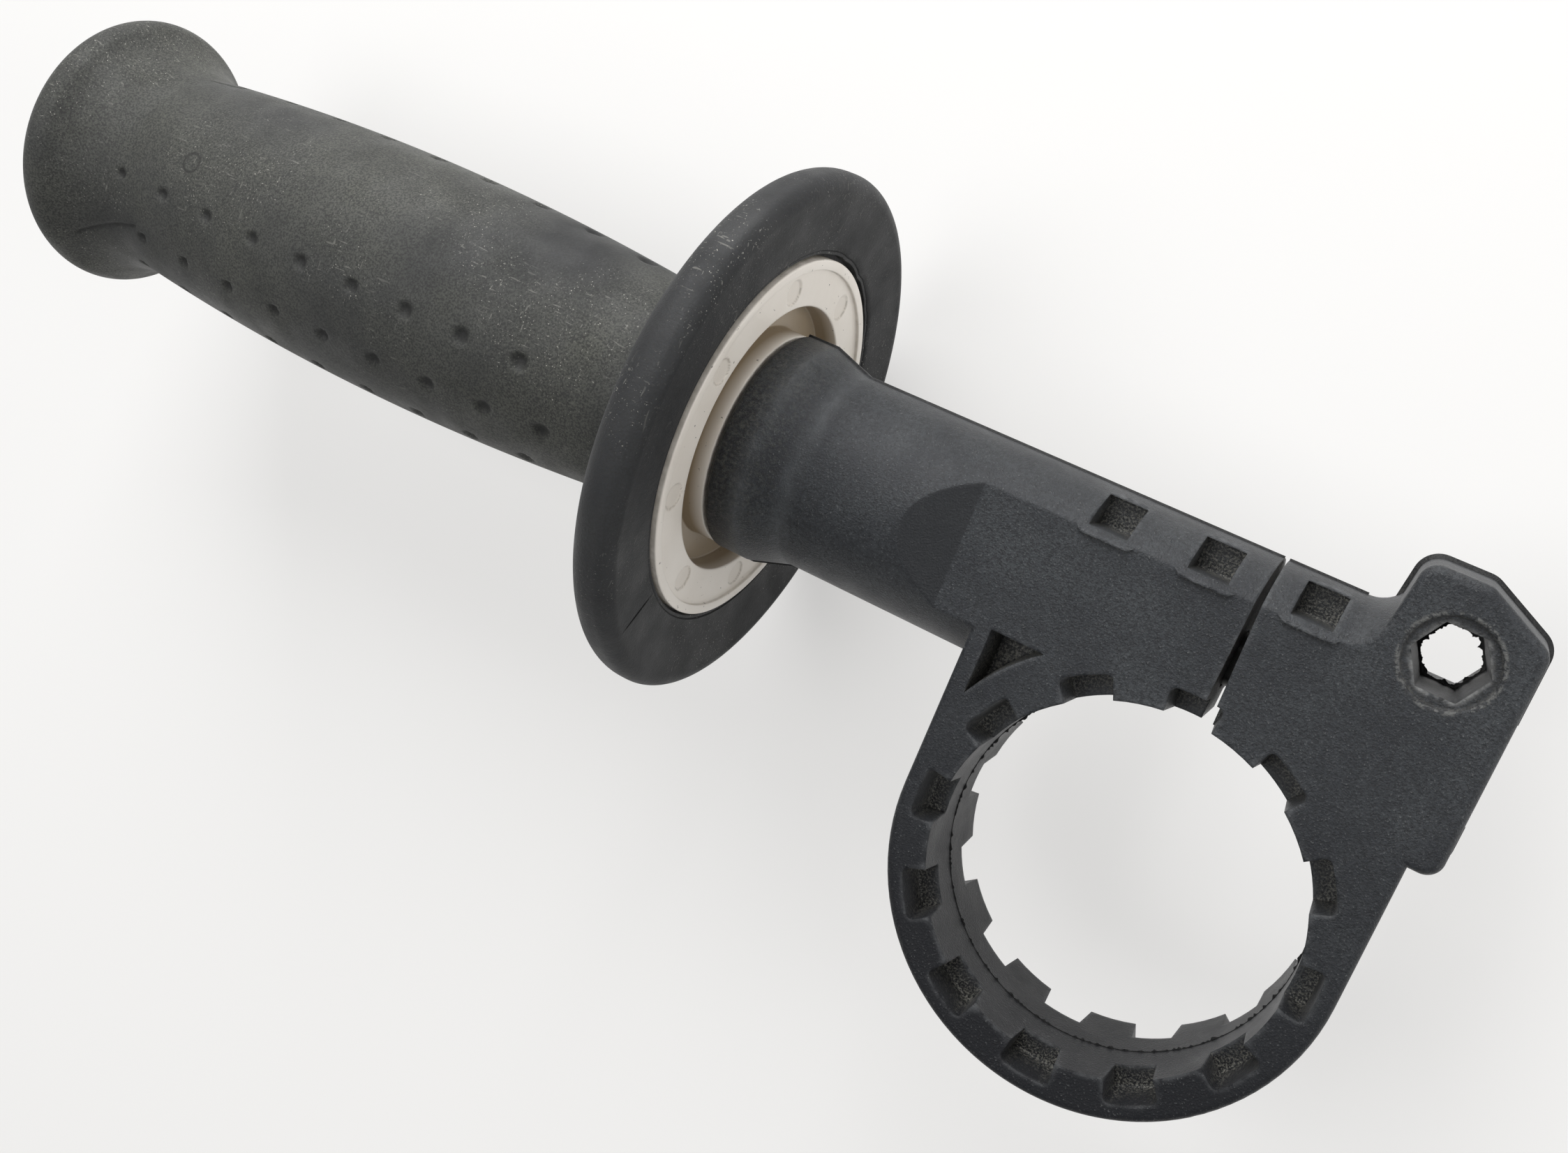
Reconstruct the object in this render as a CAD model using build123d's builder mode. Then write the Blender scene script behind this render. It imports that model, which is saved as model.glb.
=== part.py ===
from build123d import *
import os
from math import cos, radians, sin, sqrt, tan

# A clamp-on side handle for a hand-held power tool, in millimetres.
# The origin is the centre of the clamp bore. Z runs along that bore, and X
# runs along the grip, from the pommel towards the jaw.

# Clamp ring, split at the top, with cored pockets on both faces
bore_radius = 26.0
ring_wall = 6.3
ring_thickness = 24.0
mould_draft = 2.0
pocket_count = 12
pocket_arc = 15.0
pocket_reach = 3.5
pocket_depth = 6.0
pocket_draft = 5.0
pocket_corner = 0.9
split_x = 1.8
split_width = 1.7
split_top_width = 0.7
ring_edge = 1.0

# Tubular arm, flared where the grip bears on it and flat beside the ring
axis_height = 34.4
arm_radius = 15.3
flare_radius = 17.5
flare_end_x = -75.5
flare_band = 5.2
flare_cone = 6.6
flare_round = 0.5
flat_start_x = -38.0
flat_slope_run = 8.5
flat_slope_rise = 3.4
fin_height = 0.3
fin_thickness = 0.4

# Square pockets along the top of the arm and the three-sided one below it
square_side = 5.7
square_height = 4.3
square_bottom = 10.0
square_floor = 4.0
square_pitch = 14.3
square_last_x = 8.7
apron_width = 10.6
apron_bottom_width = 6.8
apron_top = 10.4
apron_bottom = 8.7
web_pocket_wall = 3.2
web_pocket_rim = 0.8
web_pocket_drop = 8.8
web_pocket_depth = 6.5

# Jaw, with the hexagonal hole for a depth rod
rod_hole_x = 25.7
rod_hole_y = 46.9
rod_across_flats = 9.0
rod_hole_draft = 2.5
rod_seat_radius = 6.0
rod_seat_depth = 0.6
jaw_rim = 11.05
jaw_right_rim = 10.4
jaw_fin_height = 0.6
jaw_left_top = 8.0
jaw_lean = 2.6
jaw_slope_start = 0.7
jaw_slope_drop = 5.1
jaw_foot_y = 20.6
jaw_corner = 2.8
jaw_edge = 1.2
jaw_blend = 4.5

# Clamp bolt and the nut moulded into the grip
bolt_radius = 4.0
bolt_clearance = 0.5
bolt_end_x = -105.0
bolt_end_chamfer = 0.8
head_across_flats = 13.0
head_height = 5.3
head_depth = 0.8
head_clearance = 0.1
head_chamfer = 0.7
nut_across_flats = 13.0
nut_height = 6.5
nut_setback = 8.5
thread_clearance = 0.05

# Thrust washer between the flare and the grip
washer_radius = 10.0
washer_thickness = 1.6
washer_clearance = 0.3
washer_seat_depth = 1.1

# Hard core of the grip, seen as a pale ring in the face of the flange
core_radius = 29.35
core_lip_width = 1.6
core_lip_height = 0.6
core_face_recess = 0.2
core_disc = 5.5
core_stem_radius = 13.5
core_stem_end_x = -204.0
core_bore_end_x = -130.0
groove_outer_radius = 21.8
groove_inner_radius = 18.2
groove_depth = 4.0

# Rubber sleeve with its hand guard and pommel
guard_radius = 42.2
guard_front_x = -75.0
guard_width = 7.8
guard_front_round = 2.4
guard_back_round = 4.4
guard_lip_gap = 0.4
guard_dish = 1.3
guard_back_x = -86.0
guard_back_radius = 25.0
barrel_start_x = -93.0
barrel_start_radius = 17.3
barrel_middle_x = -148.0
barrel_middle_radius = 20.5
barrel_end_x = -197.0
barrel_end_radius = 18.1
neck_radius = 18.5
neck_turn = 42.0
pommel_round = 4.0
pommel_turn = 65.0

# Grip dimples, in two bands of rows on opposite sides
dimple_rows = 4
dimple_count = 9
dimple_row_angle = 30.0
dimple_first_angle = 96.0
dimple_start_x = -110.3
dimple_pitch = 10.8
dimple_near_radius = 1.5
dimple_far_radius = 1.0
dimple_depth = 0.6


def axis_plane(x):
    """Plane square to the grip axis at x, with its local x along Y."""
    return Plane(origin=(x, axis_height, 0), x_dir=(0, 1, 0), z_dir=(1, 0, 0))


def at_radius(x, radius):
    """Point of a turned profile, in the plane of symmetry."""
    return (x, axis_height + radius)


os.makedirs("parts", exist_ok=True)
grip_axis = Axis((0, axis_height, 0), (1, 0, 0))
half_thickness = ring_thickness / 2
ring_radius = bore_radius + ring_wall
jaw_right_x = rod_hole_x + jaw_right_rim
jaw_top_y = rod_hole_y + jaw_rim
jaw_left_x = rod_hole_x - jaw_left_top
head_outer_x = jaw_right_x - head_depth
head_seat_x = head_outer_x - head_height
past_all = 2 * ring_radius
rod_middle_flats = rod_across_flats - ring_thickness * tan(radians(rod_hole_draft))
core_face_x = flare_end_x - core_face_recess - core_lip_height
core_back_x = core_face_x - core_disc
washer_floor_x = flare_end_x - washer_thickness
boss_end_x = washer_floor_x + washer_seat_depth

# Half of the ring's section, drafted from the parting line and rounded at its edge
with BuildSketch(Plane.XZ) as ring_section:
    with BuildLine():
        drafted_radius = ring_radius - half_thickness * tan(radians(mould_draft))
        Polyline(
            (0, -half_thickness),
            (drafted_radius, -half_thickness),
            (ring_radius, 0),
            (drafted_radius, half_thickness),
            (0, half_thickness),
            close=True,
        )
    make_face()
    fillet(vertices().filter_by_position(Axis.X, drafted_radius - 0.01, drafted_radius + 0.01), ring_edge)

# Outline of the jaw round the depth-rod hole
with BuildSketch(Plane.XY) as jaw_outline:
    with BuildLine():
        Polyline(
            (jaw_left_x, jaw_top_y),
            (jaw_left_x - jaw_lean, axis_height),
            (jaw_left_x - jaw_lean, jaw_foot_y),
            (jaw_right_x, jaw_foot_y),
            (jaw_right_x, jaw_top_y - jaw_slope_drop),
            (rod_hole_x + jaw_slope_start, jaw_top_y),
            close=True,
        )
    make_face()
    corners = vertices().filter_by_position(Axis.Y, jaw_top_y - jaw_slope_drop - 1, jaw_top_y + 1)
    fillet(corners, jaw_corner)
    fillet(vertices().sort_by_distance((jaw_right_x, jaw_foot_y))[0], jaw_corner)

# What the flats on both sides of the tube leave of it: they start with a slope,
# and the tube stays round beside each square pocket
with BuildPart() as flat_sides:
    with BuildSketch(Plane.XZ):
        with BuildLine():
            Polyline(
                (flat_start_x - flat_slope_run, half_thickness + flat_slope_rise),
                (flat_start_x, half_thickness),
                (jaw_right_x, half_thickness),
                (jaw_right_x, -half_thickness),
                (flat_start_x, -half_thickness),
                (flat_start_x - flat_slope_run, -half_thickness - flat_slope_rise),
                (flare_end_x, -past_all),
                (flare_end_x, past_all),
                close=True,
            )
        make_face()
    extrude(amount=past_all, both=True)
    with BuildSketch(Plane.XY):
        for step in range(3):
            with BuildLine():
                apron_x = square_last_x - step * square_pitch
                Polyline(
                    (apron_x - apron_bottom_width / 2, axis_height + apron_bottom),
                    (apron_x + apron_bottom_width / 2, axis_height + apron_bottom),
                    (apron_x + apron_width / 2, axis_height + apron_top),
                    (apron_x + apron_width / 2, axis_height + arm_radius),
                    (apron_x - apron_width / 2, axis_height + arm_radius),
                    (apron_x - apron_width / 2, axis_height + apron_top),
                    close=True,
                )
            make_face()
    extrude(amount=arm_radius, both=True)

# Jaw block, drafted from the parting line and rounded round its two faces
with BuildPart() as jaw_block:
    add(jaw_outline.sketch)
    extrude(amount=half_thickness, both=True, taper=mould_draft)
    faces_of_jaw = faces().filter_by(Plane.XY)
    fillet(faces_of_jaw.edges(), jaw_edge)

# Outline of one pocket of the ring, opening into the bore
with BuildSketch() as ring_pocket:
    with BuildLine():
        pocket_near = bore_radius - pocket_reach
        pocket_far = bore_radius + pocket_reach
        near_x = pocket_near * cos(radians(pocket_arc / 2))
        near_y = pocket_near * sin(radians(pocket_arc / 2))
        far_arc = CenterArc((0, 0), pocket_far, -pocket_arc / 2, pocket_arc)
        Polyline(far_arc @ 1, (near_x, near_y), (near_x, -near_y), far_arc @ 0)
    make_face()
    fillet(vertices().sort_by(Axis.X)[-2:], pocket_corner)

# Clamp arm: flared tube, web, split ring and jaw in one moulding
with BuildPart() as clamp_arm:
    # The tube is turned about the grip axis
    with BuildSketch(Plane.XY):
        with BuildLine():
            blend_end = at_radius(jaw_left_x, arm_radius + jaw_blend)
            blend_start = at_radius(jaw_left_x - jaw_blend, arm_radius)
            Polyline(
                blend_end,
                at_radius(rod_hole_x, arm_radius + jaw_blend),
                at_radius(rod_hole_x, 0),
                at_radius(flare_end_x, 0),
                at_radius(flare_end_x, flare_radius - flare_round),
                at_radius(flare_end_x + flare_round, flare_radius),
                at_radius(flare_end_x + flare_band, flare_radius),
                at_radius(flare_end_x + flare_band + flare_cone, arm_radius),
                blend_start,
            )
            # The tube runs up into the jaw with a hollow blend
            TangentArc(blend_start, blend_end, tangent=(1, 0))
        make_face()
    revolve(axis=grip_axis)
    # Both sides of the tube are flat beside the ring
    add(flat_sides.part, mode=Mode.INTERSECT)
    # Fin that the mould's joint leaves along the top and bottom of the tube
    with BuildSketch(Plane.XY):
        with BuildLine():
            fin_points = [
                (flare_end_x, flare_radius + fin_height),
                (flare_end_x + flare_band, flare_radius + fin_height),
                (flare_end_x + flare_band + flare_cone, arm_radius + fin_height),
                (jaw_left_x - jaw_blend, arm_radius + fin_height),
            ]
            Polyline(
                [at_radius(x, radius) for x, radius in fin_points],
                [at_radius(x, -radius) for x, radius in reversed(fin_points)],
                close=True,
            )
        make_face()
    extrude(amount=fin_thickness / 2, both=True)
    # Ring, and the web that carries it on the tube
    revolve(ring_section.sketch, axis=Axis.Z)
    web = extrude(ring_section.sketch, amount=-axis_height)
    mirror(web, about=Plane.YZ)
    # Jaw, with the fin round its edge
    add(jaw_block.part)
    with BuildSketch(Plane.XY):
        add(jaw_outline.sketch)
        offset(amount=jaw_fin_height)
    extrude(amount=fin_thickness / 2, both=True)
    # Clamp bore
    with BuildSketch(Plane.XY):
        Circle(bore_radius)
    extrude(amount=past_all, both=True, mode=Mode.SUBTRACT)
    for side in (1, -1):
        inward = Plane(origin=(0, 0, side * half_thickness), x_dir=(1, 0, 0), z_dir=(0, 0, -side))
        # Pockets round the bore
        with BuildSketch(inward):
            with PolarLocations(0, pocket_count):
                add(ring_pocket.sketch)
        extrude(amount=pocket_depth, taper=pocket_draft, mode=Mode.SUBTRACT)
        # Three-sided pocket between the tube, the ring and the side wall
        with BuildSketch(inward):
            with Locations((-ring_radius + web_pocket_wall, -side * (axis_height - web_pocket_drop))):
                Rectangle(
                    ring_radius - web_pocket_wall,
                    axis_height - web_pocket_drop,
                    align=(Align.MIN, Align.MIN if side > 0 else Align.MAX),
                )
            Circle(ring_radius + web_pocket_rim, mode=Mode.SUBTRACT)
        extrude(amount=web_pocket_depth, taper=pocket_draft, mode=Mode.SUBTRACT)
        # Square pockets along the tube
        with BuildSketch(Plane.XY.offset(side * square_floor)):
            for step in range(3):
                with Locations((square_last_x - step * square_pitch, axis_height + square_bottom)):
                    Rectangle(square_side, square_height, align=(Align.CENTER, Align.MIN))
        extrude(amount=side * ring_thickness, mode=Mode.SUBTRACT)
        # Depth-rod hole, drafted from each mouth to the parting line, with a round seat
        with BuildSketch(inward):
            with Locations((rod_hole_x, -side * rod_hole_y)):
                RegularPolygon(rod_across_flats / 2, 6, major_radius=False)
        extrude(amount=half_thickness, taper=rod_hole_draft, mode=Mode.SUBTRACT)
        with BuildSketch(inward):
            with Locations((rod_hole_x, -side * rod_hole_y)):
                Circle(rod_seat_radius)
        extrude(amount=rod_seat_depth, mode=Mode.SUBTRACT)
    # The two drafted halves of the depth-rod hole meet in a straight one
    with BuildSketch(Plane.XY):
        with Locations((rod_hole_x, rod_hole_y)):
            RegularPolygon(rod_middle_flats / 2, 6, major_radius=False)
    extrude(amount=past_all, both=True, mode=Mode.SUBTRACT)
    # Split through the top of the ring and the tube, narrower at the top
    with BuildSketch(Plane.XY):
        with BuildLine():
            Polyline(
                (split_x - split_width / 2, 0),
                (split_x + split_width / 2, 0),
                (split_x + split_width / 2, bore_radius),
                (split_x + split_top_width / 2, axis_height + arm_radius),
                (split_x + split_top_width / 2, 2 * axis_height),
                (split_x - split_top_width / 2, 2 * axis_height),
                (split_x - split_top_width / 2, axis_height + arm_radius),
                (split_x - split_width / 2, bore_radius),
                close=True,
            )
        make_face()
    extrude(amount=past_all, both=True, mode=Mode.SUBTRACT)
    # Passage for the clamp bolt, with a hexagonal socket for its head in the jaw
    with BuildSketch(axis_plane(flare_end_x)):
        Circle(bolt_radius + bolt_clearance)
    extrude(amount=jaw_right_x - flare_end_x, mode=Mode.SUBTRACT)
    with BuildSketch(axis_plane(head_seat_x)):
        RegularPolygon(head_across_flats / 2 + head_clearance, 6, major_radius=False)
    extrude(amount=jaw_right_x, mode=Mode.SUBTRACT)

# Clamp bolt, its hexagonal head held in the jaw
with BuildPart() as clamp_bolt:
    with BuildSketch(axis_plane(bolt_end_x)):
        Circle(bolt_radius)
    extrude(amount=head_seat_x - bolt_end_x)
    chamfer(edges().sort_by(Axis.X)[0], bolt_end_chamfer)
    with BuildSketch(axis_plane(head_seat_x)):
        RegularPolygon(head_across_flats / 2, 6, major_radius=False)
    extrude(amount=head_height)
    # The head's corners are turned off at its outer face
    with BuildSketch(Plane.XY):
        with BuildLine():
            corner_radius = head_across_flats / 2 / cos(radians(30))
            Polyline(
                at_radius(head_outer_x, corner_radius - 2 * head_chamfer),
                at_radius(head_outer_x, corner_radius + head_chamfer),
                at_radius(head_outer_x - head_chamfer - head_chamfer / 2, corner_radius + head_chamfer),
                close=True,
            )
        make_face()
    revolve(axis=grip_axis, mode=Mode.SUBTRACT)

# Nut moulded into the core of the grip
nut_end_x = core_face_x - nut_setback
with BuildPart() as insert_nut:
    with BuildSketch(axis_plane(nut_end_x - nut_height)):
        RegularPolygon(nut_across_flats / 2, 6, major_radius=False)
        Circle(bolt_radius + thread_clearance, mode=Mode.SUBTRACT)
    extrude(amount=nut_height)

# Steel washer that the grip turns against
with BuildPart() as thrust_washer:
    with BuildSketch(axis_plane(flare_end_x - washer_thickness)):
        Circle(washer_radius)
        Circle(bolt_radius + washer_clearance, mode=Mode.SUBTRACT)
    extrude(amount=washer_thickness)

# Hard core: a ring-shaped face with a groove, and a stem inside the rubber
with BuildPart() as grip_core:
    with BuildSketch(Plane.XY):
        with BuildLine():
            Polyline(
                at_radius(washer_floor_x, 0),
                at_radius(washer_floor_x, washer_radius + washer_clearance),
                at_radius(boss_end_x, washer_radius + washer_clearance),
                at_radius(boss_end_x, groove_inner_radius),
                at_radius(core_face_x - groove_depth, groove_inner_radius),
                at_radius(core_face_x - groove_depth, groove_outer_radius),
                at_radius(core_face_x, groove_outer_radius),
                at_radius(core_face_x, core_radius - core_lip_width),
                at_radius(core_face_x + core_lip_height, core_radius - core_lip_width),
                at_radius(core_face_x + core_lip_height, core_radius),
                at_radius(core_back_x, core_radius),
                at_radius(core_back_x, core_stem_radius),
                at_radius(core_stem_end_x, core_stem_radius),
                at_radius(core_stem_end_x, 0),
                close=True,
            )
        make_face()
    revolve(axis=grip_axis)
    with BuildSketch(axis_plane(core_bore_end_x)):
        Circle(bolt_radius + bolt_clearance)
    extrude(amount=washer_floor_x - core_bore_end_x, mode=Mode.SUBTRACT)
    with BuildSketch(axis_plane(nut_end_x - nut_height)):
        RegularPolygon(nut_across_flats / 2, 6, major_radius=False)
    extrude(amount=nut_height, mode=Mode.SUBTRACT)

# Rubber sleeve: hand guard, barrel and pommel in one moulding over the core
with BuildPart() as grip_sleeve:
    with BuildSketch(Plane.XY):
        with BuildLine():
            face_start = at_radius(guard_front_x - guard_dish, core_radius + guard_lip_gap)
            front_centre = at_radius(guard_front_x - guard_front_round, guard_radius - guard_front_round)
            front_round = CenterArc(front_centre, guard_front_round, 0, 90)
            Line(face_start, front_round @ 0)
            back_centre = at_radius(
                guard_front_x - guard_width + guard_back_round,
                guard_radius - guard_back_round,
            )
            back_round = CenterArc(back_centre, guard_back_round, 90, 90)
            Line(front_round @ 1, back_round @ 0)
            back_line = Line(back_round @ 1, at_radius(guard_back_x, guard_back_radius))
            root = TangentArc(
                at_radius(barrel_start_x, barrel_start_radius),
                back_line @ 1,
                tangent=(1, 0),
            )
            barrel = ThreePointArc(
                at_radius(barrel_start_x, barrel_start_radius),
                at_radius(barrel_middle_x, barrel_middle_radius),
                at_radius(barrel_end_x, barrel_end_radius),
            )
            neck = JernArc(barrel @ 1, (-1, 0), neck_radius, -neck_turn)
            knob = JernArc(neck @ 1, neck % 1, pommel_round, neck_turn + pommel_turn)
            knob_edge = knob @ 1
            knob_height = knob_edge.Y - axis_height
            dome_radius = knob_height / cos(radians(pommel_turn))
            dome_rise = dome_radius - knob_height * sin(radians(pommel_turn)) / cos(radians(pommel_turn))
            dome_end = at_radius(knob_edge.X - dome_rise, 0)
            dome = TangentArc(knob_edge, dome_end, tangent=knob % 1)
            Polyline(
                dome_end,
                at_radius(core_stem_end_x, 0),
                at_radius(core_stem_end_x, core_stem_radius),
                at_radius(core_back_x, core_stem_radius),
                at_radius(core_back_x, core_radius),
                at_radius(core_face_x, core_radius),
                face_start,
            )
        make_face()
    revolve(axis=grip_axis)
    # Dimples: small near the pommel, with every second row half a pitch further on
    for step in range(dimple_count):
        shrink = step / (dimple_count - 1) * (dimple_near_radius - dimple_far_radius)
        mouth = dimple_near_radius - shrink
        ball = (mouth**2 + dimple_depth**2) / (2 * dimple_depth)
        for row in range(dimple_rows):
            x = dimple_start_x - dimple_pitch * (step - row % 2 / 2)
            rise = sqrt(barrel.radius**2 - (x - barrel.arc_center.X) ** 2)
            reach = barrel.arc_center.Y + rise - axis_height + ball - dimple_depth
            for band in (0, 180):
                turn = radians(dimple_first_angle + row * dimple_row_angle + band)
                with Locations((x, axis_height + reach * cos(turn), reach * sin(turn))):
                    Sphere(ball, mode=Mode.SUBTRACT)

for name, piece in (
    ("clamp_arm", clamp_arm),
    ("clamp_bolt", clamp_bolt),
    ("insert_nut", insert_nut),
    ("thrust_washer", thrust_washer),
    ("grip_core", grip_core),
    ("grip_sleeve", grip_sleeve),
):
    piece.part.label = name
    export_step(piece.part, f"parts/{name}.step")
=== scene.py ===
import math
import bmesh
import bpy
import numpy as np
from mathutils import Matrix, Vector


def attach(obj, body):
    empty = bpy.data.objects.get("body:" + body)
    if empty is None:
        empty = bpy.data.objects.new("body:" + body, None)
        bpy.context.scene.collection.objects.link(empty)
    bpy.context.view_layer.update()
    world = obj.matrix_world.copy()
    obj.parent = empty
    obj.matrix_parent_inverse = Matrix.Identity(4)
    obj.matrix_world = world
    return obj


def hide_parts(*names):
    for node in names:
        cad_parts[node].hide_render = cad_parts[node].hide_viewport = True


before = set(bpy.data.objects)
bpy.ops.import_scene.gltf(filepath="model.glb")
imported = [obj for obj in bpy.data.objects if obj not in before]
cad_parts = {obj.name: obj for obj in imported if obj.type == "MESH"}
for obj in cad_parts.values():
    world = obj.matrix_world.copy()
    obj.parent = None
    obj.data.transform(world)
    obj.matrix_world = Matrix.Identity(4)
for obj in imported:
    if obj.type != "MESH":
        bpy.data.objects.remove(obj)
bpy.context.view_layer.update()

# Clamp arm: flared tube, web, split ring and jaw. It is one injection moulding
# in glass-filled black nylon with a fine spark-eroded skin. The clamp bolt
# through it squeezes the split ring onto the tool's neck.
GRIP_AXIS_Y = 0.0344
FLARE_END_X, CONE_ENDS_X, SLOPE_MIDDLE_X = -0.0755, (-0.0703, -0.0637), -0.0423
ROD_HOLE = (0.0257, 0.0469)


def shader_node(material, kind, sockets=None, **settings):
    """Adds a node to a material, with its settings, values and incoming links."""
    node = material.node_tree.nodes.new(kind)
    for name, value in settings.items():
        setattr(node, name, value)
    for name, value in (sockets or {}).items():
        if isinstance(value, bpy.types.NodeSocket):
            material.node_tree.links.new(value, node.inputs[name])
        else:
            node.inputs[name].default_value = value
    return node


def finish(name, **sockets):
    """A material with one Principled shader; its sockets take values or links."""
    material = bpy.data.materials.new(name)
    material.use_nodes = True
    shader = material.node_tree.nodes["Principled BSDF"]
    for socket, value in sockets.items():
        shader.inputs[socket.replace("_", " ")].default_value = value
    return material, shader


def feed(shader, socket, value):
    """Links a value of the same material to a socket of its shader."""
    shader.id_data.links.new(value, shader.inputs[socket])


def noise(material, scale, detail=3.0, roughness=0.5, stretch=(1, 1, 1)):
    """Noise on the piece's own coordinates; scale is in lumps for each metre."""
    place = shader_node(material, "ShaderNodeTexCoord").outputs["Object"]
    place = shader_node(
        material, "ShaderNodeMapping", {"Vector": place, "Scale": stretch}
    ).outputs["Vector"]
    return shader_node(
        material,
        "ShaderNodeTexNoise",
        {"Vector": place, "Scale": scale, "Detail": detail, "Roughness": roughness},
    ).outputs["Fac"]


def between(material, value, low, high, start=0.0, end=1.0):
    """Value stretched so that low becomes start and high becomes end, and held there."""
    return shader_node(
        material,
        "ShaderNodeMapRange",
        {"Value": value, "From Min": low, "From Max": high, "To Min": start, "To Max": end},
    ).outputs["Result"]


def tint(material, amount, first, second):
    """Colour first where amount is 0 and colour second where it is 1."""
    mix = shader_node(material, "ShaderNodeMix", data_type="RGBA")
    for socket, value in (("A", first), ("B", second)):
        slot = [s for s in mix.inputs if s.name == socket and s.type == "RGBA"][0]
        if isinstance(value, bpy.types.NodeSocket):
            material.node_tree.links.new(value, slot)
        else:
            slot.default_value = (*value, 1)
    material.node_tree.links.new(amount, mix.inputs["Factor"])
    return [s for s in mix.outputs if s.type == "RGBA"][0]


def product(material, first, second):
    """The two values multiplied."""
    return shader_node(
        material, "ShaderNodeMath", {0: first, 1: second}, operation="MULTIPLY"
    ).outputs["Value"]


def coated(material, colour, coats):
    """The colour under coats laid on in order: each is a mask, its strength and its colour."""
    for mask, strength, coat in coats:
        colour = tint(material, product(material, mask, strength), colour, coat)
    return colour


def openness(material, reach, inside=False):
    """How open a place is, from 0 to 1: Ambient Occlusion over a reach in metres.

    Inside, it looks into the body, so it is low along outward edges."""
    return shader_node(
        material, "ShaderNodeAmbientOcclusion", {"Distance": reach}, samples=8, inside=inside
    ).outputs["AO"]


def away_from(material, place, along=(1, 1, 1)):
    """Distance in metres from a place on the piece, counted only along the axes marked 1."""
    here = shader_node(material, "ShaderNodeTexCoord").outputs["Object"]
    here = shader_node(
        material, "ShaderNodeVectorMath", {0: here, 1: along}, operation="MULTIPLY"
    ).outputs["Vector"]
    place = [value * kept for value, kept in zip(place, along)]
    return shader_node(
        material, "ShaderNodeVectorMath", {0: here, 1: place}, operation="DISTANCE"
    ).outputs["Value"]


def dress(node, material):
    """Gives a CAD node one material."""
    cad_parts[node].data.materials.clear()
    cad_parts[node].data.materials.append(material)


nylon, nylon_shader = finish("worn_black_nylon", Sheen_Weight=0.06, Sheen_Roughness=0.35)
nylon_cloud = between(nylon, noise(nylon, 70, 8, 0.68), 0.36, 0.64)
# Painted shade: the ring is coloured darker towards its foot, where less light falls, and its
# specular level is lowered there too
painted_low_shade = between(nylon, away_from(nylon, (0, 0.06, 0), (0, 1, 0)), 0.035, 0.078)
nylon_pit = between(nylon, noise(nylon, 1900, 6, 0.85), 0.54, 0.45)
nylon_speck = between(nylon, noise(nylon, 3400, 3, 0.6), 0.62, 0.72)
nylon_edge = product(
    nylon,
    between(nylon, openness(nylon, 0.0014, inside=True), 0.8, 0.4),
    between(nylon, noise(nylon, 700, 4), 0.35, 0.6),
)
# Painted shade: recesses within 5 mm are coloured darker; the same mask also places the dust in
# them
hollow_shade_and_dust = between(nylon, openness(nylon, 0.005), 0.75, 0.3)
nylon_dust = product(nylon, hollow_shade_and_dust, between(nylon, noise(nylon, 3000, 3, 0.7), 0.47, 0.60))
# Pale dust from the work lies on the flare, near the guard
flare_dust = product(
    nylon,
    between(nylon, away_from(nylon, (FLARE_END_X, 0, 0), (1, 0, 0)), 0.012, 0.004),
    between(nylon, noise(nylon, 1500, 5, 0.8), 0.48, 0.60),
)
# The rod has darkened its hole's round seat and scuffed the lips round it
rod_seat = away_from(nylon, (*ROD_HOLE, 0), (1, 1, 0))
rod_rubbed = between(nylon, noise(nylon, 1500, 4, 0.7), 0.42, 0.58)
seat_dark = product(nylon, between(nylon, rod_seat, 0.0068, 0.0062), rod_rubbed)
seat_edge = product(
    nylon, between(nylon, rod_seat, 0.0058, 0.0061), between(nylon, rod_seat, 0.0067, 0.0064)
)
seat_edge = product(nylon, seat_edge, between(nylon, noise(nylon, 900, 4, 0.7), 0.48, 0.56))
hole_lip = product(nylon, nylon_edge, between(nylon, rod_seat, 0.0058, 0.0054))
# Grime sits along the mould's joint
mould_joint = between(nylon, away_from(nylon, (0, 0, 0), (0, 0, 1)), 0.00035, 0.00022)
# Painted shade: the sloped start of the flats, picked by its normal, is coloured darker
slope_normal = shader_node(nylon, "ShaderNodeTexCoord").outputs["Normal"]
slope_normal = shader_node(nylon, "ShaderNodeSeparateXYZ", {"Vector": slope_normal}).outputs["X"]
painted_slope_shade = product(
    nylon,
    between(nylon, slope_normal, 0.20, 0.33),
    between(nylon, away_from(nylon, (SLOPE_MIDDLE_X, 0, 0), (1, 0, 0)), 0.0052, 0.0045),
)
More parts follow.
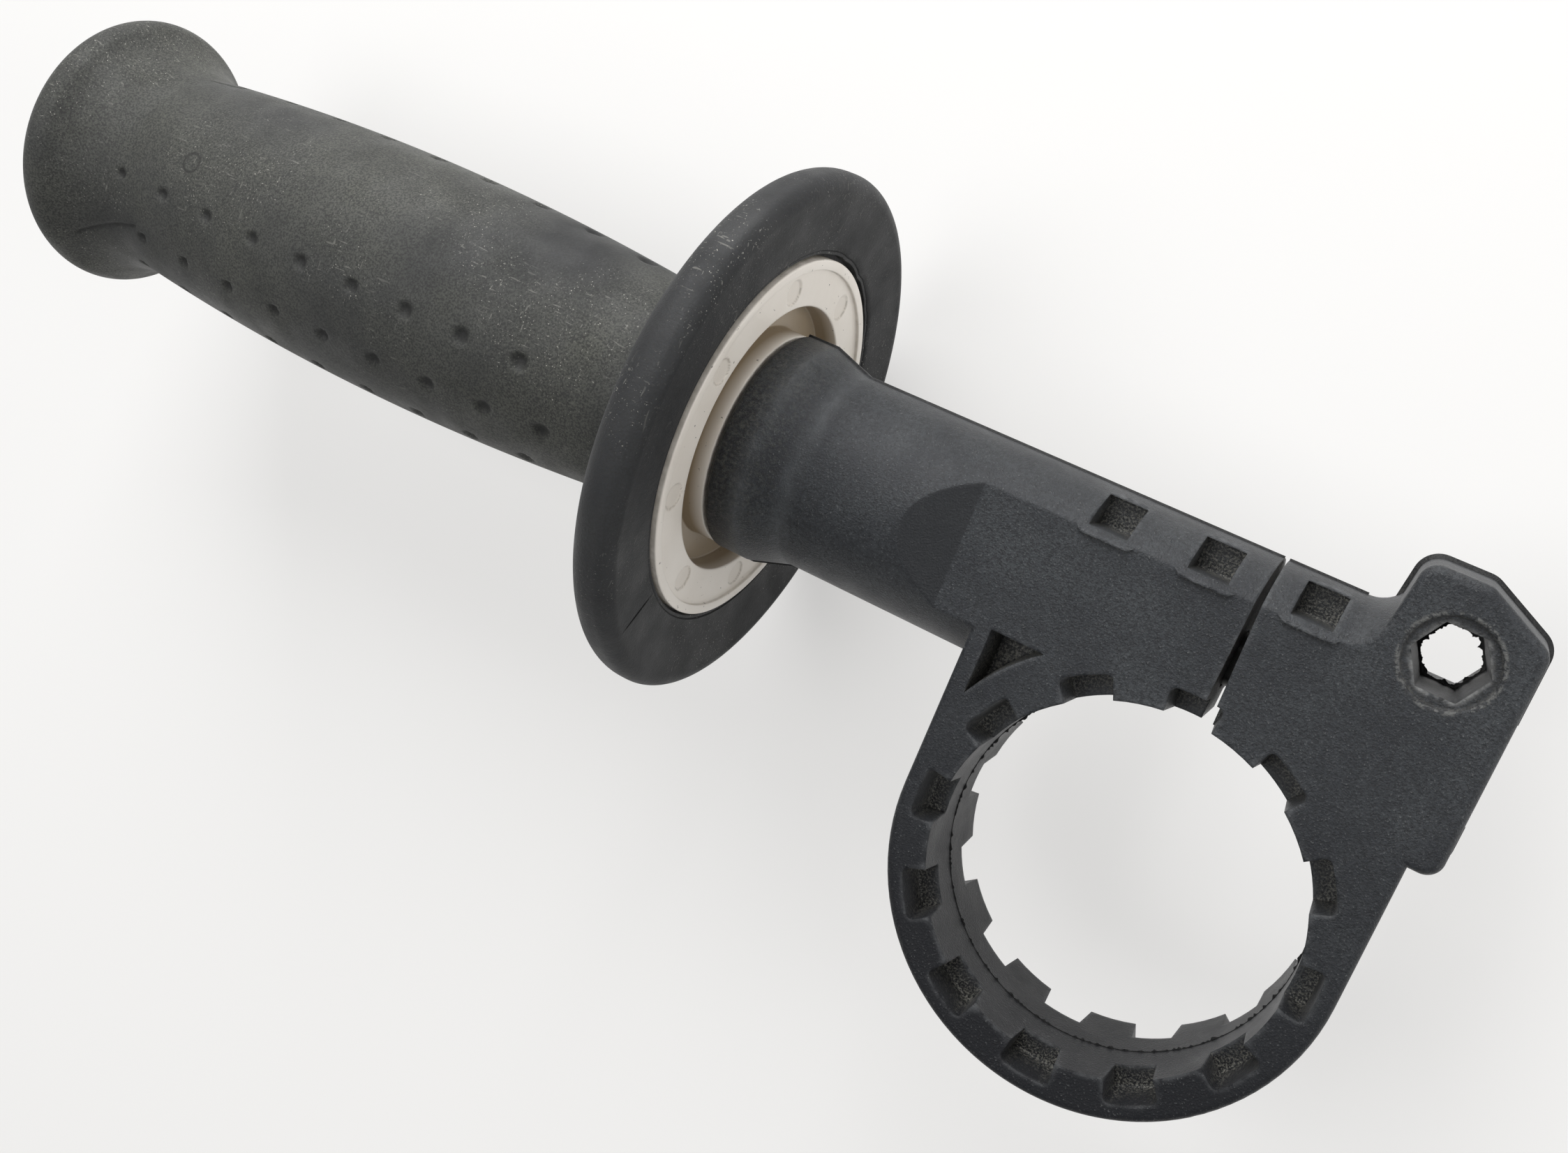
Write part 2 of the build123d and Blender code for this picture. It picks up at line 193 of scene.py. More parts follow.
# Painted highlights: pale bands along both ends of the flare's cone
cone_painted_highlights = [
    product(
        nylon,
        between(nylon, away_from(nylon, (end_x, 0, 0), (1, 0, 0)), 0.0021, 0.0),
        between(nylon, noise(nylon, 260, 5, 0.65), 0.30, 0.62),
    )
    for end_x in CONE_ENDS_X
]
nylon_colour = coated(
    nylon,
    tint(nylon, nylon_cloud, (0.011, 0.013, 0.017), (0.034, 0.038, 0.042)),
    [
        # painted shade towards the ring's foot
        (painted_low_shade, 0.92, (0.004, 0.004, 0.006)),
        (nylon_pit, 0.85, (0.005, 0.006, 0.008)),
        (nylon_speck, 0.6, (0.14, 0.145, 0.145)),
        (nylon_edge, 0.45, (0.12, 0.125, 0.13)),
        # painted shade in the recesses
        (hollow_shade_and_dust, 0.6, (0.007, 0.007, 0.007)),
        (nylon_dust, 0.8, (0.20, 0.195, 0.17)),
        (flare_dust, 0.35, (0.115, 0.113, 0.095)),
        (seat_dark, 0.7, (0.008, 0.008, 0.008)),
        (seat_edge, 0.5, (0.17, 0.17, 0.16)),
        (hole_lip, 0.8, (0.30, 0.30, 0.29)),
        (mould_joint, 0.85, (0.004, 0.004, 0.004)),
        # painted shade on the sloped start of the flats
        (painted_slope_shade, 0.75, (0.007, 0.008, 0.010)),
        # painted highlights at both ends of the cone
        *((cone_end_highlight, 0.5, (0.085, 0.090, 0.095)) for cone_end_highlight in cone_painted_highlights),
    ],
)
# The grain is pressed into corners that the mould has left slightly round
nylon_worn_round = shader_node(
    nylon, "ShaderNodeBevel", {"Radius": 0.0008}, samples=8
).outputs["Normal"]
nylon_grain = shader_node(
    nylon,
    "ShaderNodeBump",
    {
        "Height": noise(nylon, 3400, 3, 0.65),
        "Strength": 0.8,
        "Distance": 0.0002,
        "Normal": nylon_worn_round,
    },
).outputs["Normal"]
feed(nylon_shader, "Base Color", nylon_colour)
# lower specular level under the painted shade at the ring's foot
feed(nylon_shader, "Specular IOR Level", between(nylon, painted_low_shade, 0.0, 1.0, 0.38, 0.24))
feed(nylon_shader, "Roughness", between(nylon, noise(nylon, 160, 5, 0.6), 0.3, 0.7, 0.36, 0.50))
feed(nylon_shader, "Normal", nylon_grain)
dress("clamp_arm", nylon)

# Clamp bolt: an M8 hexagon-head bolt in zinc-plated steel, with a rolled
# thread. Its head is held in the jaw's socket and its end screws into the nut.
BOLT_END_X, HEAD_SEAT_X, HEAD_OUTER_X = -0.105, 0.0300, 0.0353
BOLT_RADIUS, THREAD_PITCH, THREAD_DEPTH, THREAD_END_X = 0.004, 0.00125, 0.0006, -0.045
HEAD_ACROSS_FLATS, HEAD_TURNED_RADIUS, HEAD_TOP_RADIUS = 0.013, 0.0066, 0.0061


def surface(name, points, material, smooth_angle=35, **fields):
    """Closed mesh of a grid of points (rows, columns, 3) whose columns meet in a ring.

    Rows of equal points become poles, and a last row equal to the first closes
    the rows too. Each field is a value for every grid point, kept for the material."""
    rows, columns = points.shape[:2]
    row, column = np.meshgrid(np.arange(rows - 1), np.arange(columns), indexing="ij")
    following = (column + 1) % columns
    quads = np.stack(
        [
            row * columns + column,
            row * columns + following,
            (row + 1) * columns + following,
            (row + 1) * columns + column,
        ],
        axis=-1,
    ).reshape(-1, 4)
    mesh = bpy.data.meshes.new(name)
    mesh.vertices.add(rows * columns)
    mesh.vertices.foreach_set("co", points.reshape(-1).astype(np.float32))
    mesh.loops.add(quads.size)
    mesh.loops.foreach_set("vertex_index", quads.reshape(-1).astype(np.int32))
    mesh.polygons.add(len(quads))
    mesh.polygons.foreach_set("loop_start", np.arange(0, quads.size, 4, dtype=np.int32))
    mesh.update(calc_edges=True)
    for field, values in fields.items():
        mesh.attributes.new(field, "FLOAT", "POINT").data.foreach_set(
            "value", values.reshape(-1).astype(np.float32)
        )
    shape = bmesh.new()
    shape.from_mesh(mesh)
    bmesh.ops.remove_doubles(shape, verts=shape.verts, dist=1e-7)
    bmesh.ops.recalc_face_normals(shape, faces=shape.faces)
    if shape.calc_volume(signed=True) < 0:
        bmesh.ops.reverse_faces(shape, faces=shape.faces)
    shape.to_mesh(mesh)
    shape.free()
    mesh.shade_smooth()
    mesh.set_sharp_from_angle(angle=math.radians(smooth_angle))
    mesh.materials.append(material)
    piece = bpy.data.objects.new(name, mesh)
    bpy.context.scene.collection.objects.link(piece)
    return piece


def turned(x, radius):
    """Points round the grip axis: x along it, and the radius square to it.

    x and radius are whole arrays (rows, columns); column j lies at an angle of
    j / columns of a turn, from +Y towards +Z."""
    angle = np.linspace(0, 2 * np.pi, radius.shape[1], endpoint=False)
    return np.stack(
        [
            np.broadcast_to(x, radius.shape),
            GRIP_AXIS_Y + radius * np.cos(angle),
            radius * np.sin(angle),
        ],
        axis=-1,
    )


def hexagon(angle, across_flats):
    """Radius of a hexagon with a corner at angle 0: half its width over the cosine of
    the angle from the middle of the nearest flat."""
    return across_flats / 2 / np.cos(angle % (np.pi / 3) - np.pi / 6)


zinc, zinc_shader = finish("zinc_plated_steel", Metallic=1.0, Roughness=0.35)
zinc_cloud = between(zinc, noise(zinc, 400, 4), 0.3, 0.7)
# The bolt is coloured nearly black in its hollows and thread roots
zinc_hollow_dark = between(zinc, openness(zinc, 0.004), 0.75, 0.35)
zinc_colour = coated(
    zinc,
    tint(zinc, zinc_cloud, (0.24, 0.24, 0.23), (0.38, 0.38, 0.37)),
    [(zinc_hollow_dark, 0.95, (0.006, 0.006, 0.006))],
)
feed(zinc_shader, "Base Color", zinc_colour)
feed(zinc_shader, "Roughness", between(zinc, noise(zinc, 900, 3), 0.3, 0.7, 0.28, 0.45))

bolt_angle = np.linspace(0, 2 * np.pi, 48, endpoint=False)
thread_x = np.arange(BOLT_END_X, THREAD_END_X, THREAD_PITCH / 8)[:, None]
thread_turn = (thread_x / THREAD_PITCH + bolt_angle / (2 * np.pi)) % 1
thread_radius = BOLT_RADIUS - THREAD_DEPTH * np.abs(2 * thread_turn - 1)
thread_fade = np.clip((thread_x - BOLT_END_X) / THREAD_PITCH, 0, 1)
thread_radius = thread_radius - (1 - thread_fade) * THREAD_DEPTH
thread_run_out = np.clip((THREAD_END_X - thread_x) / (2 * THREAD_PITCH), 0, 1)
thread_radius = thread_run_out * thread_radius + (1 - thread_run_out) * BOLT_RADIUS
head_flat = hexagon(bolt_angle, HEAD_ACROSS_FLATS)
all_round = 0 * bolt_angle
head_rows = [
    (BOLT_END_X, all_round),
    *zip(np.broadcast_to(thread_x, thread_radius.shape), thread_radius),
    (THREAD_END_X, all_round + BOLT_RADIUS),
    (HEAD_SEAT_X, all_round + BOLT_RADIUS),
    (HEAD_SEAT_X, head_flat),
    (HEAD_OUTER_X - 0.0009, head_flat),
    (HEAD_OUTER_X - 0.0002, np.minimum(head_flat, HEAD_TURNED_RADIUS)),
    (HEAD_OUTER_X, all_round + HEAD_TOP_RADIUS),
    (HEAD_OUTER_X, all_round),
]
bolt = surface(
    "threaded_clamp_bolt",
    turned(
        np.array([x + all_round for x, _ in head_rows]),
        np.array([radius for _, radius in head_rows]),
    ),
    zinc,
)
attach(bolt, "arm")
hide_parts("clamp_bolt")

# Mould flash: thin ragged fins of the arm's own nylon at the mould's joint, one
# round the middle of the bore and one across the middle of the depth-rod hole.
BORE_RADIUS, FLASH_ROOT_RADIUS = 0.026, 0.02608
BORE_POINTS, ROD_POINTS = 900, 720


def ragged(count, step, low, high, seed):
    """Uneven heights along a fin: seeded random peaks every few points, cubed so that
    most of them are low, and joined by straight runs."""
    peaks = np.random.default_rng(seed).random(count // step + 2) ** 3
    return low + (high - low) * np.interp(np.arange(count) / step, np.arange(len(peaks)), peaks)


# The bore's fin stops at both sides of the split
bore_angle = np.radians(np.linspace(88.6, 443.4, BORE_POINTS))
bore_fin = BORE_RADIUS - ragged(BORE_POINTS, 2, 0.00008, 0.00045, 5)
bore_fin[[0, -1]] = 0.02605
fin_root = 0 * bore_fin + FLASH_ROOT_RADIUS
fin_radius = np.stack([fin_root, bore_fin, bore_fin, fin_root], axis=-1)
fin_z = np.array([-0.00018, -0.00006, 0.00006, 0.00018]) + 0 * fin_radius
fin_z[[0, -1]] = 0
fin_radius[[0, -1]] = FLASH_ROOT_RADIUS
fin_x = fin_radius * np.cos(bore_angle)[:, None]
fin_y = fin_radius * np.sin(bore_angle)[:, None]
bore_flash = surface("bore_flash", np.stack([fin_x, fin_y, fin_z], axis=-1), nylon)

# The hole's fin closes the middle of the hexagon down to a small ragged opening
rod_angle = np.linspace(0, 2 * np.pi, ROD_POINTS, endpoint=False)
rod_coarse = ragged(ROD_POINTS, 17, 0.0, 0.0006, 11)
rod_fine = ragged(ROD_POINTS, 5, 0.0, 0.0002, 12)
rod_inner = np.minimum(hexagon(rod_angle, 0.0075), 0.0040) - rod_coarse - rod_fine
rod_outer = hexagon(rod_angle, 0.0082)
rod_ring = np.array([rod_outer, rod_inner, rod_inner, rod_outer, rod_outer])
rod_z = np.array([0.00015, 0.00005, -0.00005, -0.00015, 0.00015])[:, None] + 0 * rod_ring
rod_x = ROD_HOLE[0] + rod_ring * np.cos(rod_angle)
rod_y = ROD_HOLE[1] + rod_ring * np.sin(rod_angle)
rod_flash = surface("rod_hole_flash", np.stack([rod_x, rod_y, rod_z], axis=-1), nylon)
for flash in (bore_flash, rod_flash):
    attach(flash, "arm")

# Insert nut: the M8 nut in plain steel that is moulded into the grip's core.
# Turning the grip winds it along the bolt.
steel, steel_shader = finish("plain_steel", Metallic=1.0, Roughness=0.4)
steel_cloud = between(steel, noise(steel, 500, 4), 0.3, 0.7)
feed(steel_shader, "Base Color", tint(steel, steel_cloud, (0.30, 0.29, 0.28), (0.45, 0.44, 0.43)))
dress("insert_nut", steel)

# Thrust washer: a stamped steel ring between the flare and the core, so that
# the grip can turn against the arm under load.
dress("thrust_washer", zinc)

# Grip core: the stem and ring-shaped face in beige plastic that the rubber is
# moulded over. Round marks in its face are left by the mould's ejector pins.
CORE_FACE_X, CORE_RADIUS, DISC_BACK_X = -0.0763, 0.02935, -0.0818
LIP_RADIUS, LIP_HEIGHT = 0.02775, 0.0006
GROOVE_FLOOR_X, GROOVE_OUTER_RADIUS = -0.0803, 0.0218
BOSS_FACE_X, BOSS_RADIUS = -0.0759, 0.0172
WASHER_FLOOR_X, WASHER_SEAT_RADIUS = -0.0771, 0.0103
PASSAGE_END_X, PASSAGE_RADIUS = -0.130, 0.0045
STEM_END_X, STEM_RADIUS = -0.2040, 0.0135
PIN_COUNT, PIN_CIRCLE_RADIUS, PIN_RADIUS, PIN_MARK_DEPTH = 8, 0.0248, 0.0021, 0.00024


def rounded(profile, radius, steps=3):
    """A profile (points in order) whose corners are replaced by small arcs.

    Each corner is a quadratic curve from a point before it to a point after it,
    both at the radius from it or at a third of the shorter side."""
    profile = np.array(profile, float)
    out = [profile[:1]]
    for before, corner, after in zip(profile[:-2], profile[1:-1], profile[2:]):
        side_before, side_after = np.linalg.norm(before - corner), np.linalg.norm(after - corner)
        reach = min(radius, side_before / 3, side_after / 3)
        start = corner + (before - corner) / side_before * reach
        end = corner + (after - corner) / side_after * reach
        t = np.linspace(0, 1, steps + 1)[:, None]
        out.append((1 - t) ** 2 * start + 2 * t * (1 - t) * corner + t**2 * end)
    return np.vstack([*out, profile[-1:]])


beige, beige_shader = finish("beige_core_plastic", Roughness=0.33)
beige_cloud = between(beige, noise(beige, 120, 4), 0.3, 0.7)
# Painted shade: the groove is coloured darker brown towards its floor
painted_groove_shade = between(beige, away_from(beige, (GROOVE_FLOOR_X, 0, 0), (1, 0, 0)), 0.0041, 0.0018)
beige_pin = shader_node(beige, "ShaderNodeAttribute", attribute_name="pin_edge").outputs["Fac"]
beige_speck = between(beige, noise(beige, 1300, 2), 0.72, 0.75)
beige_dust = product(
    beige,
    between(beige, openness(beige, 0.004), 0.8, 0.35),
    between(beige, noise(beige, 700, 4), 0.3, 0.6),
)
beige_colour = coated(
    beige,
    tint(beige, beige_cloud, (0.83, 0.77, 0.69), (0.88, 0.825, 0.75)),
    [
        # painted shade in the groove
        (painted_groove_shade, 0.92, (0.31, 0.235, 0.145)),
        (beige_pin, 0.6, (0.30, 0.26, 0.21)),
        (beige_speck, 0.8, (0.10, 0.085, 0.07)),
        (beige_dust, 0.5, (0.30, 0.26, 0.20)),
    ],
)
beige_bump = shader_node(
    beige,
    "ShaderNodeBump",
    {"Height": noise(beige, 500, 3), "Strength": 0.15, "Distance": 0.0003},
).outputs["Normal"]
feed(beige_shader, "Base Color", beige_colour)
feed(beige_shader, "Normal", beige_bump)

core_profile = rounded(
    [
        (PASSAGE_END_X, 0.0),
        (PASSAGE_END_X, PASSAGE_RADIUS),
        (WASHER_FLOOR_X, PASSAGE_RADIUS),
        (WASHER_FLOOR_X, WASHER_SEAT_RADIUS),
        (BOSS_FACE_X, WASHER_SEAT_RADIUS),
        (BOSS_FACE_X, BOSS_RADIUS),
        (GROOVE_FLOOR_X, BOSS_RADIUS),
        (GROOVE_FLOOR_X, GROOVE_OUTER_RADIUS),
        (CORE_FACE_X, GROOVE_OUTER_RADIUS),
        (CORE_FACE_X, LIP_RADIUS),
        (CORE_FACE_X + LIP_HEIGHT, LIP_RADIUS),
        (CORE_FACE_X + LIP_HEIGHT, CORE_RADIUS),
        (DISC_BACK_X, CORE_RADIUS),
        (DISC_BACK_X, STEM_RADIUS),
        (STEM_END_X, STEM_RADIUS),
        (STEM_END_X, 0.0),
    ],
    0.0003,
)
# The flat face gets many rows, so that the round marks in it come out sharp
core_rows = [core_profile[:1]]
for start, end in zip(core_profile[:-1], core_profile[1:]):
    steps = 26 if start[0] == end[0] == CORE_FACE_X else 1
    core_rows.append(start + (end - start) * np.linspace(0, 1, steps + 1)[1:, None])
core_rows = np.vstack(core_rows)
core_angle = np.linspace(0, 2 * np.pi, 640, endpoint=False)
core_x = core_rows[:, :1] + 0 * core_angle
core_radius = core_rows[:, 1:] + 0 * core_angle
pin_depth = 0 * core_x
for pin in range(PIN_COUNT):
    pin_angle = math.radians(22 + 45 * pin)
    away = np.hypot(
        core_radius * np.cos(core_angle) - PIN_CIRCLE_RADIUS * math.cos(pin_angle),
        core_radius * np.sin(core_angle) - PIN_CIRCLE_RADIUS * math.sin(pin_angle),
    )
    pin_depth = np.maximum(pin_depth, np.clip((PIN_RADIUS - away) / 0.00022, 0, 1))
on_face = (np.abs(core_x - CORE_FACE_X) < 1e-6) & (core_radius > 0.0221) & (core_radius < 0.0274)
core_x = core_x - PIN_MARK_DEPTH * pin_depth * on_face
pin_edge = 4 * pin_depth * (1 - pin_depth) * on_face * (core_radius * np.cos(core_angle) < 0.024)
core = surface("beige_grip_core", turned(core_x, core_radius), beige, pin_edge=pin_edge)
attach(core, "grip")
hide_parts("grip_core")

# Grip sleeve: hand guard, barrel and pommel in black rubber, moulded in one
# over the core. The mould pressed eight rows of dimples into the barrel.
BARREL_START, BARREL_MIDDLE, BARREL_END = (-0.093, 0.0173), (-0.148, 0.0205), (-0.197, 0.0181)
DIMPLE_START_X, DIMPLE_PITCH, DIMPLE_COUNT = -0.1103, 0.0108, 9
DIMPLE_ROW_ANGLES = (96, 126, 156, 186, 276, 306, 336, 366)
DIMPLE_NEAR_RADIUS, DIMPLE_SHRINK, DIMPLE_DEPTH = 0.00155, 0.0005, 0.0007
HOLLOW_ROOT_RADIUS = 0.0165


def arc(centre, radius, start, end, count):
    """Points of a circle's arc: the centre plus the radius times the cosine and sine of
    each angle, in degrees."""
    angle = np.radians(np.linspace(start, end, count))
    return np.array(centre) + radius * np.stack([np.cos(angle), np.sin(angle)], axis=-1)


def arc_through(first, middle, last, count):
    """Points of the circle's arc through three points; the centre is where their bisectors meet."""
    first, middle, last = (np.array(p) for p in (first, middle, last))
    sides = np.array([middle - first, last - first])
    centre = first + np.linalg.solve(2 * sides, (sides**2).sum(axis=1))
    radius = np.linalg.norm(first - centre)
    start, end = (math.degrees(math.atan2(*(p - centre)[::-1])) for p in (first, last))
    return arc(centre, radius, start, end, count)


rubber, rubber_shader = finish("worn_grip_rubber", Sheen_Weight=0.06, Sheen_Roughness=0.4)
# The barrel is worn paler than the guard, in large soft patches
rubber_barrel = between(rubber, away_from(rubber, (-0.0760, 0, 0), (1, 0, 0)), 0.010, 0.024)
rubber_worn = product(
    rubber, between(rubber, noise(rubber, 22, 4, 0.55), 0.34, 0.60), rubber_barrel
)
rubber_cloud = product(
    rubber,
    between(rubber, noise(rubber, 160, 5, 0.65), 0.35, 0.7),
    between(rubber, rubber_barrel, 0.0, 1.0, 0.10, 0.28),
)
rubber_grain = between(rubber, noise(rubber, 3000, 3, 0.6), 0.58, 0.42)
rubber_dusty = between(rubber, noise(rubber, 60, 3), 0.42, 0.60)
rubber_speck = between(rubber, noise(rubber, 3400, 2), 0.68, 0.73)
rubber_scratches = [
    between(rubber, noise(rubber, 2200, 1, 0.5, run), least, least + 0.04)
    for run, least in (((0.13, 1, 1), 0.705), ((1, 0.13, 1), 0.715))
]
# Painted shade: the dimples and the wear slits are coloured darker, on top of their real depth
rubber_pit_shade = shader_node(rubber, "ShaderNodeAttribute", attribute_name="dimple").outputs["Fac"]
# Round mark of the mould on the barrel
mark_from = away_from(rubber, (-0.1821, 0.0394, 0.0190))
mark_ring = product(
    rubber, between(rubber, mark_from, 0.0013, 0.0016), between(rubber, mark_from, 0.0021, 0.0018)
)
# A cut runs outwards across the guard's face
cut_place = shader_node(rubber, "ShaderNodeTexCoord").outputs["Object"]
cut_place = shader_node(
    rubber,
    "ShaderNodeMapping",
    {
        "Vector": cut_place,
        "Location": (-0.0757, 0.0069, 0.0219),
        "Rotation": (math.radians(-53.1), 0, 0),
        "Scale": (0.003, 0.0056, 0.00030),
    },
    vector_type="TEXTURE",
).outputs["Vector"]
cut_reach = shader_node(
    rubber, "ShaderNodeVectorMath", {0: cut_place}, operation="LENGTH"
).outputs["Value"]
rubber_cut = between(rubber, cut_reach, 1.0, 0.6)
rubber_colour = coated(
    rubber,
    tint(rubber, rubber_worn, (0.013, 0.014, 0.016), (0.074, 0.076, 0.063)),
    [
        (rubber_cloud, 1.0, (0.095, 0.096, 0.088)),
        (rubber_grain, 0.8, (0.014, 0.014, 0.014)),
        (product(rubber, rubber_speck, rubber_dusty), 0.9, (0.40, 0.39, 0.35)),
        *(
            (product(rubber, scratch, rubber_dusty), 0.35, (0.26, 0.255, 0.23))
            for scratch in rubber_scratches
        ),
        # painted shade in the dimples and slits
        (rubber_pit_shade, 0.8, (0.010, 0.010, 0.010)),
        (mark_ring, 0.85, (0.014, 0.014, 0.013)),
        (rubber_cut, 0.9, (0.004, 0.004, 0.004)),
    ],
)
rubber_skin = shader_node(
    rubber,
    "ShaderNodeBump",
    {"Height": noise(rubber, 1900, 5, 0.7), "Strength": 0.5, "Distance": 0.0002},
).outputs["Normal"]
feed(rubber_shader, "Base Color", rubber_colour)
feed(rubber_shader, "Specular IOR Level", between(rubber, rubber_cut, 0.0, 1.0, 0.4, 0.0))
feed(rubber_shader, "Roughness", between(rubber, noise(rubber, 150, 4), 0.3, 0.7, 0.52, 0.74))
feed(rubber_shader, "Normal", rubber_skin)

sleeve_profile = np.vstack(
    [
        # Inside, along the core's stem and disc
        [(STEM_END_X, 0.0), (STEM_END_X, STEM_RADIUS), (DISC_BACK_X, STEM_RADIUS)],
        [(DISC_BACK_X, CORE_RADIUS), (-0.0778, CORE_RADIUS)],
        # Mouth round the core, then the dished face of the guard
        [(-0.0778, 0.0298), (-0.0764, 0.0298)],
        arc((-0.0764 - 0.0002, 0.0301), 0.0003, -20, 70, 3),
        np.linspace((-0.0762, 0.0305), (-0.0751, 0.0394), 6),
        # Rim of the guard, its back and the hollow root
        arc((-0.0774, 0.0398), 0.0024, 0, 90, 12),
        arc((-0.0784, 0.0378), 0.0044, 90, 180, 16),
        np.linspace((-0.0828, 0.0378), (-0.0860, 0.0250), 10)[1:-1],
        arc((-0.0930, 0.024332), 0.007032, 5.5, -90, 16),
        # Barrel, neck, rim of the pommel and its domed end
        arc_through(BARREL_START, BARREL_MIDDLE, BARREL_END, 184)[1:],
        arc((-0.1970, 0.0366), 0.0185, -91, -132, 22),
        arc((-0.21206, 0.01988), 0.0040, 48, 155, 22)[1:],
        arc((-0.16943, 0.0), 0.05104, 155, 180, 16)[1:],
    ]
)
sleeve_angle = np.linspace(0, 2 * np.pi, 320, endpoint=False)
sleeve_x = sleeve_profile[:, :1] + 0 * sleeve_angle
sleeve_radius = sleeve_profile[:, 1:] + 0 * sleeve_angle
outside = (sleeve_x < -0.0945) & (sleeve_radius > HOLLOW_ROOT_RADIUS)
pit = 0 * sleeve_x
for row, row_angle in enumerate(DIMPLE_ROW_ANGLES):
    for step in range(DIMPLE_COUNT):
        dimple_x = DIMPLE_START_X - DIMPLE_PITCH * (step - row % 2 / 2)
        size = DIMPLE_NEAR_RADIUS - DIMPLE_SHRINK * step / (DIMPLE_COUNT - 1)
        turn = (sleeve_angle - math.radians(row_angle) + np.pi) % (2 * np.pi) - np.pi
        away = np.hypot(sleeve_x - dimple_x, sleeve_radius * turn) / size
        pit = np.maximum(pit, np.clip(1.15 * (1 - away**2), 0, 1) ** 0.7)
# Wear: a slit at the pommel's neck and a crease below it, each with its two ends
# (x and degrees round) and its width
for slit_start, slit_end, slit_width in (
    ((-0.1963, 14.4), (-0.1908, 11.9), 0.00035),
    ((-0.2066, 137.0), (-0.1931, 122.6), 0.00040),
):
    slit_turn = np.radians([slit_start[1], slit_end[1]])
    slit_line = np.array([slit_end[0] - slit_start[0], 0.02 * (slit_turn[1] - slit_turn[0])])
    from_start = np.stack(
        [sleeve_x - slit_start[0], sleeve_radius * (sleeve_angle - slit_turn[0])], axis=-1
    )
    along = np.clip(from_start @ slit_line / (slit_line @ slit_line), 0, 1)
    away = np.linalg.norm(from_start - along[..., None] * slit_line, axis=-1)
    slit = 0.6 * np.clip(1.4 - away / slit_width, 0, 1)
    pit = np.maximum(pit, slit * (sleeve_radius > HOLLOW_ROOT_RADIUS))
pit = pit * outside
sleeve_radius = sleeve_radius - DIMPLE_DEPTH * pit
# The rubber has pulled away from the core on one side, with a ragged edge
gap_turn = np.cos(sleeve_angle - math.radians(-45))
gap_width = 0.0011 * np.clip(gap_turn, 0, 1) ** 3 * (1 - ragged(320, 3, 0.0, 0.45, 7))
gap_rows = (sleeve_x > -0.0779) & (sleeve_radius > 0.0296) & (sleeve_radius < 0.0322)
gap_fade = np.clip((0.0335 - sleeve_radius) / 0.003, 0, 1)
sleeve_radius = sleeve_radius + gap_width * gap_rows * gap_fade
sleeve = surface("dimpled_grip_sleeve", turned(sleeve_x, sleeve_radius), rubber, 60, dimple=pit)
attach(sleeve, "grip")
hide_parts("grip_sleeve")

# Studio: a pale floor that fades into the room, a window, ceiling and side
# softbox, and a plain pale room round them.
FLOOR_Z, FLOOR_REACH = -0.0422, 6


def seen_rays(material, glossy_share):
    """1 for camera and transmission rays, a share of 1 for glossy rays, and 0 for others."""
    ray = shader_node(material, "ShaderNodeLightPath").outputs
    kinds = (ray["Is Transmission Ray"], product(material, ray["Is Glossy Ray"], glossy_share))
    seen = ray["Is Camera Ray"]
    for kind in kinds:
        seen = shader_node(
            material, "ShaderNodeMath", {0: seen, 1: kind}, operation="MAXIMUM"
        ).outputs["Value"]
    return seen


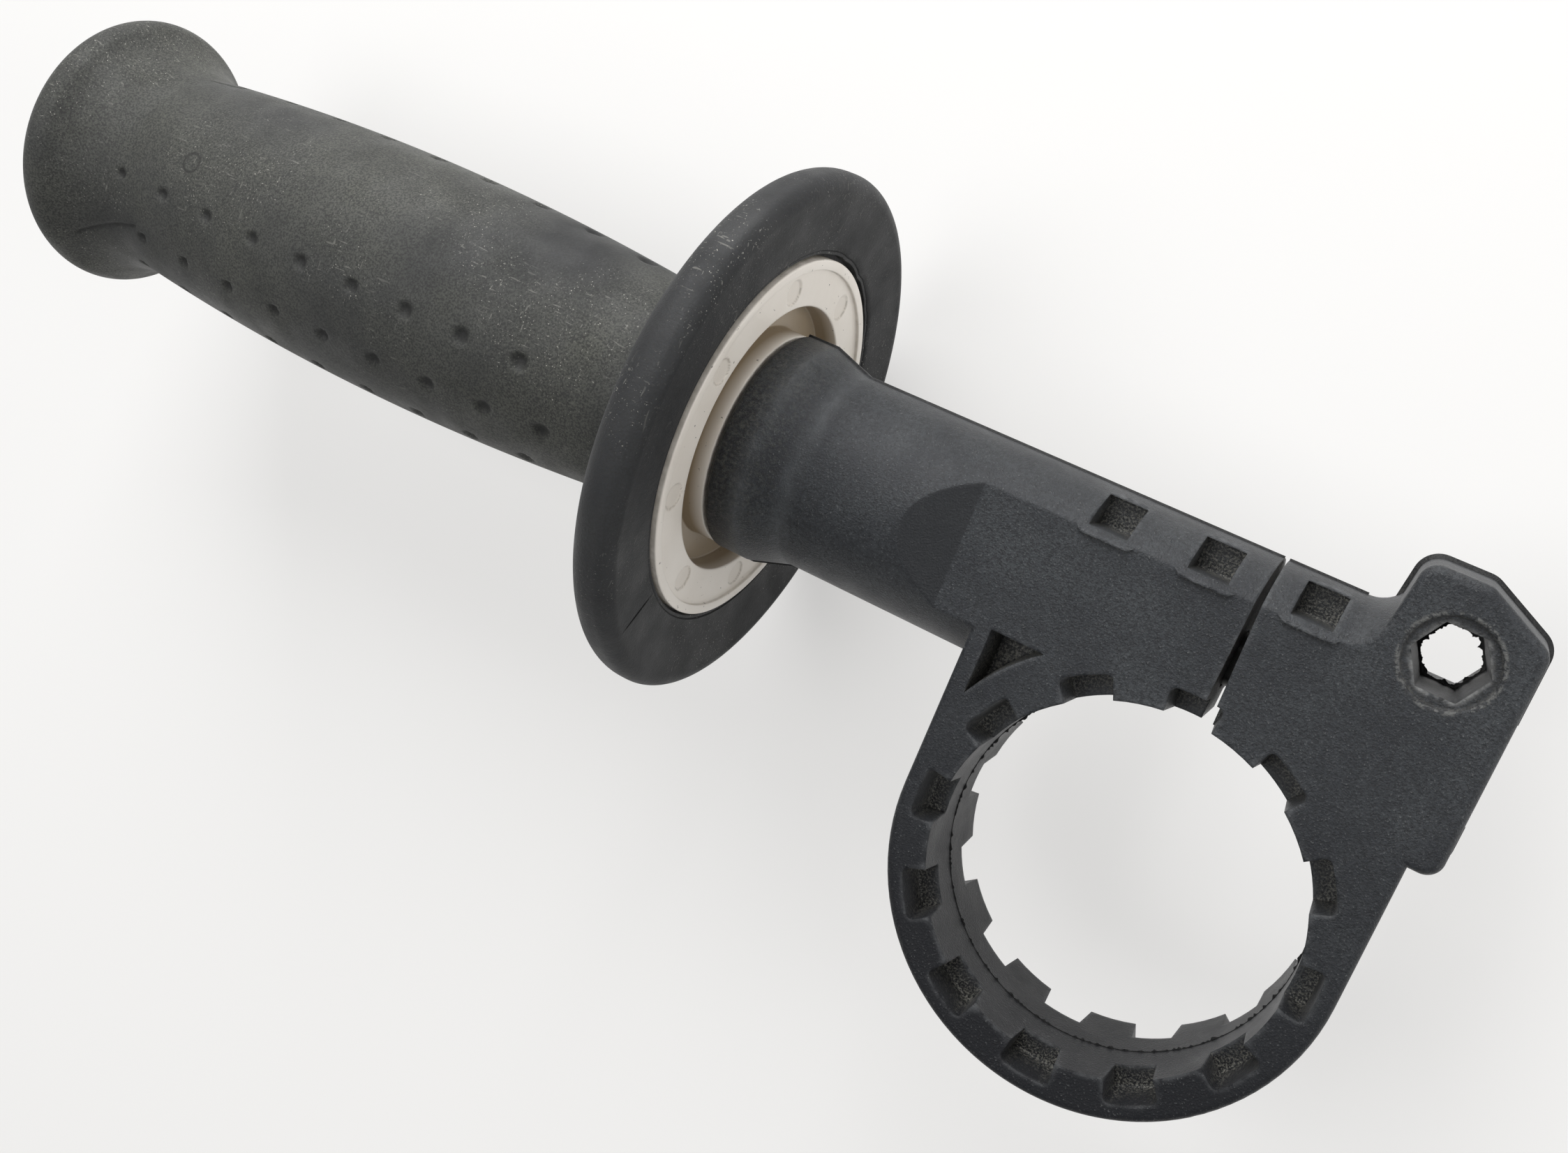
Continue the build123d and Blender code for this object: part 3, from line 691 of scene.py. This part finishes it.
paper, paper_shader = finish("pale_floor", Roughness=0.9)
paper_shader.inputs["Base Color"].default_value = (0.82, 0.815, 0.805, 1)
paper_white = shader_node(
    paper, "ShaderNodeEmission", {"Color": (1, 0.99, 0.975, 1), "Strength": 0.97}
)
paper_mix = shader_node(
    paper,
    "ShaderNodeMixShader",
    {
        0: product(paper, seen_rays(paper, 1.0), 0.5),
        1: paper_shader.outputs[0],
        2: paper_white.outputs[0],
    },
)
feed(paper.node_tree.nodes["Material Output"], "Surface", paper_mix.outputs[0])
floor_mesh = bpy.data.meshes.new("studio_floor")
floor_corners = [
    (side_x * FLOOR_REACH, side_y * FLOOR_REACH, FLOOR_Z)
    for side_x, side_y in ((-1, -1), (1, -1), (1, 1), (-1, 1))
]
floor_mesh.from_pydata(floor_corners, [], [(0, 1, 2, 3)])
floor_mesh.materials.append(paper)
floor = bpy.data.objects.new("studio_floor", floor_mesh)
bpy.context.scene.collection.objects.link(floor)

room = bpy.data.worlds.new("pale_room")
room.use_nodes = True
room_light = room.node_tree.nodes["Background"]
room_light.inputs["Color"].default_value = (0.98, 0.985, 0.99, 1)
feed(room_light, "Strength", between(room, seen_rays(room, 0.4), 0.0, 1.0, 0.25, 0.62))
bpy.context.scene.world = room

LIT_PLACE = Vector((-0.08, 0.03, 0))
for lamp_name, place, size, power in (
    ("window_softbox", (-0.28, 0.68, 0.38), 0.60, 7.4),
    ("ceiling_softbox", (-0.46, 0.00, 1.15), 0.75, 5.6),
    ("side_softbox", (0.85, 0.16, 0.36), 0.7, 3.6),
):
    lamp = bpy.data.lights.new(lamp_name, "AREA")
    lamp.size = size
    lamp.energy = power
    holder = bpy.data.objects.new(lamp_name, lamp)
    holder.location = place
    holder.rotation_euler = (LIT_PLACE - Vector(place)).to_track_quat("-Z", "Y").to_euler()
    bpy.context.scene.collection.objects.link(holder)

# Camera: the photograph's place, direction and lens.
VIEW_FROM = Vector((0.01765, 0.06726, 0.22387))
VIEW_ALONG = Vector((-0.33805, -0.20779, -0.91790)).normalized()
VIEW_UP = Vector((-0.41649, 0.90765, -0.05208))
camera = bpy.data.objects.new("camera", bpy.data.cameras.new("camera"))
camera.data.lens = 36.29
camera.data.sensor_width = 36
camera.data.clip_start = 0.01
view_right = VIEW_ALONG.cross(VIEW_UP).normalized()
view_up = view_right.cross(VIEW_ALONG)
camera_turn = Matrix((view_right, view_up, -VIEW_ALONG)).transposed().to_4x4()
camera.matrix_world = Matrix.Translation(VIEW_FROM) @ camera_turn
bpy.context.scene.collection.objects.link(camera)
bpy.context.scene.camera = camera
bpy.context.scene.view_settings.view_transform = "Standard"
